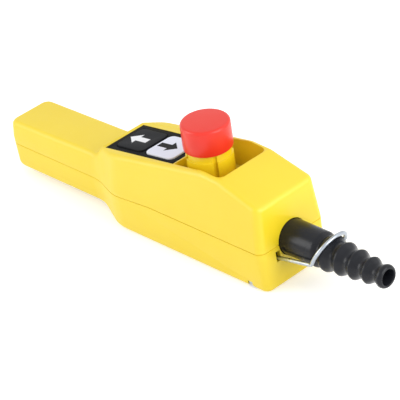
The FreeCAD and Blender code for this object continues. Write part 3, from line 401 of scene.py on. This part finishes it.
def buildPlastic(name, look):
    material, tree, shader = newFinish(name)
    grain = useGroup(tree, mouldedGrain, Grain=look["grain"])
    wear = useGroup(tree, edgeWear, Amount=look["wear"])
    dust = useGroup(tree, settledDust, Amount=look["dust"])
    patch = span(tree, grain.outputs["Patch"], 0.0, 1.0)
    body = mixColour(tree, patch, look["colour"], look["drift"])
    worn = mixColour(tree, wear.outputs["Mask"], body, look["edge"])
    dusty = mixColour(tree, dust.outputs["Mask"], worn, dustColour)
    tree.links.new(dusty, shader.inputs["Base Color"])
    low, high = look["rough"]
    tree.links.new(span(tree, grain.outputs["Patch"], low, high), shader.inputs["Roughness"])
    shader.inputs["Specular IOR Level"].default_value = look["level"]
    addBump(tree, shader, grain.outputs["Height"], look["bump"], grainDepth)
    return material


# wear on a metal's edges, and how much brighter it is rubbed there
metalWear = {"Radius": 0.0003, "Amount": 0.6}
rubbedBright = 1.2

# metals: colour, tarnish, roughness range and the run of the drawn lines
metals = {
    "zinc_steel": {"colour": (0.50, 0.545, 0.60), "tarnish": (0.36, 0.395, 0.44),
                   "rough": (0.26, 0.42), "along": (60.0, 900.0, 900.0), "bump": 0.08},
    "spring_steel": {"colour": (0.50, 0.50, 0.51), "tarnish": (0.34, 0.34, 0.35),
                     "rough": (0.28, 0.42), "along": (500.0, 500.0, 1400.0), "bump": 0.08},
    "turned_steel": {"colour": (0.62, 0.62, 0.63), "tarnish": (0.48, 0.48, 0.49),
                     "rough": (0.22, 0.34), "along": (40.0, 40.0, 2200.0), "bump": 0.1},
    "brass": {"colour": (0.72, 0.50, 0.18), "tarnish": (0.50, 0.33, 0.11),
              "rough": (0.28, 0.42), "along": (80.0, 1200.0, 1200.0), "bump": 0.06},
}


def buildMetal(name, look):
    material, tree, shader = newFinish(name)
    lines = useGroup(tree, brushedLines, Along=look["along"])
    wear = useGroup(tree, edgeWear, **metalWear)
    blotch = span(tree, lines.outputs["Blotch"], 0.0, 1.0)
    body = mixColour(tree, blotch, look["colour"], look["tarnish"])
    bright = tuple(min(1.0, part * rubbedBright) for part in look["colour"])
    tree.links.new(mixColour(tree, wear.outputs["Mask"], body, bright), shader.inputs["Base Color"])
    shader.inputs["Metallic"].default_value = 1.0
    low, high = look["rough"]
    tree.links.new(span(tree, lines.outputs["Blotch"], low, high), shader.inputs["Roughness"])
    addBump(tree, shader, lines.outputs["Lines"], look["bump"], lineDepth)
    return material


finishes = {name: buildPlastic(name, look) for name, look in plastics.items()}
finishes.update({name: buildMetal(name, look) for name, look in metals.items()})
slotOf = {item["node"]: item["material_slot"] for item in frame["record"]["subparts"]}
for name, node in nodes.items():
    node.data.materials.clear()
    node.data.materials.append(finishes[slotOf[name]])
print("finishes are on", len(nodes), "nodes")


# helpers for the modelled pieces; sizes from here on are millimetres, and angles degrees
mm = 0.001
fineMerge = 0.002
ringMerge = 0.005


def onlySelect(piece):
    bpy.ops.object.select_all(action="DESELECT")
    piece.select_set(True)
    bpy.context.view_layer.objects.active = piece


def pick(kind, test):
    # selects the edges or faces in edit mode whose corners all pass the test
    mesh = bpy.context.object.data
    form = bmesh.from_edit_mesh(mesh)
    bpy.ops.mesh.select_all(action="DESELECT")
    for part in getattr(form, kind):
        if all(test(corner.co) for corner in part.verts):
            part.select_set(True)
    bmesh.update_edit_mesh(mesh)


def bodyOf(node):
    return [name for name, empty in frame["bodies"].items() if nodes[node].parent == empty][0]


def mergedCopy(node, name):
    # a CAD node's mesh is loose triangles, so its copy is merged before anything else
    onlySelect(nodes[node])
    bpy.ops.object.duplicate()
    piece = bpy.context.object
    piece.name = piece.data.name = name
    bpy.ops.object.parent_clear(type="CLEAR_KEEP_TRANSFORM")
    del piece["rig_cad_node"]
    bpy.ops.object.mode_set(mode="EDIT")
    bpy.ops.mesh.select_all(action="SELECT")
    bpy.ops.mesh.remove_doubles(threshold=fineMerge * mm)
    bpy.ops.mesh.customdata_custom_splitnormals_clear()
    return piece


def standIn(piece, node):
    # the piece rides, and takes its finish, as the node that it stands for
    piece.data.materials.clear()
    piece.data.materials.append(finishes[slotOf[node]])
    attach(piece, bodyOf(node))
    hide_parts(node)
    bpy.ops.object.select_all(action="DESELECT")


# flat faces are joined below the first angle, edges over the second are rolled
rolling = {"flat": 0.6, "sharp": 40, "smooth": 32}

# moulded parts whose knife-sharp edges are rolled: the roll, and steps across it
rolledEdges = {
    "upper_housing": {"name": "frontShell", "roll": 0.40, "steps": 3},
    "back_cover": {"name": "rearShell", "roll": 0.40, "steps": 3},
    "deck_bezel": {"name": "buttonPlate", "roll": 0.30, "steps": 3},
    "lower_cap": {"name": "lowerKey", "roll": 0.30, "steps": 3},
    "raise_cap": {"name": "raiseKey", "roll": 0.30, "steps": 3},
    "stop_collar": {"name": "stopSurround", "roll": 0.15, "steps": 2},
    "cable_clamp": {"name": "cordSaddle", "roll": 0.25, "steps": 2},
}


def rollEdges(node, name, roll, steps):
    piece = mergedCopy(node, name)
    bpy.ops.mesh.dissolve_limited(angle_limit=math.radians(rolling["flat"]))
    bpy.ops.object.mode_set(mode="OBJECT")
    soft = piece.modifiers.new("rolledEdge", "BEVEL")
    soft.width = roll * mm
    soft.segments = steps
    soft.limit_method = "ANGLE"
    soft.angle_limit = math.radians(rolling["sharp"])
    bpy.ops.object.modifier_apply(modifier=soft.name)
    bpy.ops.object.shade_smooth_by_angle(angle=math.radians(rolling["smooth"]))
    standIn(piece, node)
    return piece


for node, look in rolledEdges.items():
    piece = rollEdges(node, **look)
    print(piece.name, "has", len(piece.data.polygons), "faces")


def turnRings(name, place, rings, sides, along):
    # draws a circle out ring by ring; a ring is its radius and its distance along the axis
    stretch = (1, 1, 0) if along == "Z" else (0, 1, 1)
    ahead = Vector((0, 0, 1)) if along == "Z" else Vector((1, 0, 0))
    radius, reach = rings[0]
    turn = (0, 0, 0) if along == "Z" else (0, math.radians(90), 0)
    bpy.ops.mesh.primitive_circle_add(vertices=sides, radius=radius * mm, fill_type="NOTHING",
                                      location=place + ahead * reach * mm, rotation=turn)
    piece = bpy.context.object
    piece.name = piece.data.name = name
    bpy.ops.object.transform_apply(location=True, rotation=True, scale=True)
    bpy.ops.object.mode_set(mode="EDIT")
    for wide, far in rings[1:]:
        bpy.ops.mesh.extrude_region_move(
            TRANSFORM_OT_translate={"value": ahead * (far - reach) * mm})
        grow = wide / radius
        bpy.ops.transform.resize(value=[grow if way else 1 for way in stretch],
                                 center_override=place + ahead * far * mm)
        radius, reach = wide, far
    return piece


def closeTurned():
    # joins the first and last ring where they meet, closes any pole and turns the faces outwards
    bpy.ops.mesh.select_all(action="SELECT")
    bpy.ops.mesh.remove_doubles(threshold=ringMerge * mm)
    bpy.ops.mesh.fill_holes(sides=0)
    bpy.ops.mesh.select_all(action="SELECT")
    bpy.ops.mesh.normals_make_consistent(inside=False)


# red turn-to-release head: a crowned disc on a skirt, and the hub that holds the shaft;
# a ring is its radius and depth, and a roll is its radius, depth, size and steps
emergencyHead = {
    "sides": 112,
    "rolls": [(15.0, 0.5, 1.7, 7), (15.0, 17.2, 0.5, 3), (13.9, 17.2, 0.3, 2)],
    "nearRing": 0.1,
    "smooth": 40,
    "rings": [(4.0, -5.6), (4.0, -15.6), (6.5, -15.6), (6.5, -9.7), (13.9, -9.7), (13.9, -17.2),
              (15.0, -17.2), (15.0, -0.5), (12.0, -0.32), (8.0, -0.14), (4.0, -0.035)],
}


def makeHead():
    look = emergencyHead
    low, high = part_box("stop_head")
    top = Vector(((low.x + high.x) / 2, (low.y + high.y) / 2, high.z))
    piece = turnRings("stopButton", top, look["rings"], look["sides"], "Z")
    closeTurned()
    near = look["nearRing"] * mm

    def onRing(radius, depth):
        return lambda corner: (abs((corner - top).xy.length - radius * mm) < near
                               and abs(top.z - corner.z - depth * mm) < near)

    for radius, depth, roll, steps in look["rolls"]:
        pick("edges", onRing(radius, depth))
        bpy.ops.mesh.bevel(offset=roll * mm, segments=steps, affect="EDGES")
    bpy.ops.object.mode_set(mode="OBJECT")
    bpy.ops.object.shade_smooth_by_angle(angle=math.radians(look["smooth"]))
    standIn(piece, "stop_head")
    return piece


# rubber cable boot: plain tube, then beads that shrink towards the open end
cableBoot = {
    "sides": 72,
    "smooth": 50,
    "flange": [(13.4, 0.0), (13.4, 3.0), (11.0, 3.0)],
    "shoulder": [(11.0, 29.6), (10.85, 30.5), (10.3, 31.5), (9.5, 32.4), (9.2, 33.0)],
    "firstBead": [(9.45, 33.9), (10.1, 34.9), (10.75, 35.9), (11.1, 36.9)],
    "crests": [(11.2, 38.0), (10.2, 48.0), (9.2, 58.0), (8.2, 68.0), (7.2, 78.0)],
    "valleyDepth": 2.0,
    "valleyPower": 1.35,
    "stepsPerBead": 12,
    "lip": [(7.1, 79.0), (6.75, 79.8), (6.2, 80.35), (5.6, 80.6), (5.2, 80.5), (4.9, 80.1)],
    "bore": [(4.9, 66.6), (8.0, 26.6), (8.0, 0.0)],
}


def bootRings():
    look = cableBoot
    rings = look["flange"] + look["shoulder"] + look["firstBead"]
    steps = look["stepsPerBead"]
    for (wide, start), (slim, end) in zip(look["crests"], look["crests"][1:]):
        for i in range(steps):
            part = i / steps
            dip = look["valleyDepth"] * math.sin(math.pi * part) ** look["valleyPower"]
            rings.append((wide + (slim - wide) * part - dip, start + (end - start) * part))
    return rings + look["crests"][-1:] + look["lip"] + look["bore"] + look["flange"][:1]


def makeBoot():
    low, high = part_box("cable_sleeve")
    start = Vector((low.x, (low.y + high.y) / 2, (low.z + high.z) / 2))
    piece = turnRings("cableBoot", start, bootRings(), cableBoot["sides"], "X")
    closeTurned()
    bpy.ops.object.mode_set(mode="OBJECT")
    bpy.ops.object.shade_smooth_by_angle(angle=math.radians(cableBoot["smooth"]))
    standIn(piece, "cable_sleeve")
    return piece


for piece in (makeHead(), makeBoot()):
    print(piece.name, "has", len(piece.data.polygons), "faces")


springSmooth = 60

# return springs, and the joint whose travel presses each one towards its lower end; the share of
# its length that it keeps is worked out
springs = {
    "lower_spring": {"name": "lowerReturn", "joint": "lower_press"},
    "raise_spring": {"name": "raiseReturn", "joint": "raise_press"},
    "stop_spring": {"name": "stopReturn", "joint": "stop_press"},
    "stop_bridge_spring": {"name": "contactReturn", "joint": "stop_press"},
}


def makeSpring(node, name, joint):
    piece = mergedCopy(node, name)
    bpy.ops.object.mode_set(mode="OBJECT")
    bpy.ops.object.shade_smooth_by_angle(angle=math.radians(springSmooth))
    standIn(piece, node)
    push = [item for item in frame["joints"] if item["name"] == joint][0]
    upward = -Vector(push["axis"]).normalized()
    heights = [corner.co.dot(upward) for corner in piece.data.vertices]
    keep = 1 - max(push["range_m"]) / (max(heights) - min(heights))
    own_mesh(piece)
    return piece, keep


for node, look in springs.items():
    piece, keep = makeSpring(node, **look)
    print(piece.name, "keeps", round(keep, 3), "of its length")
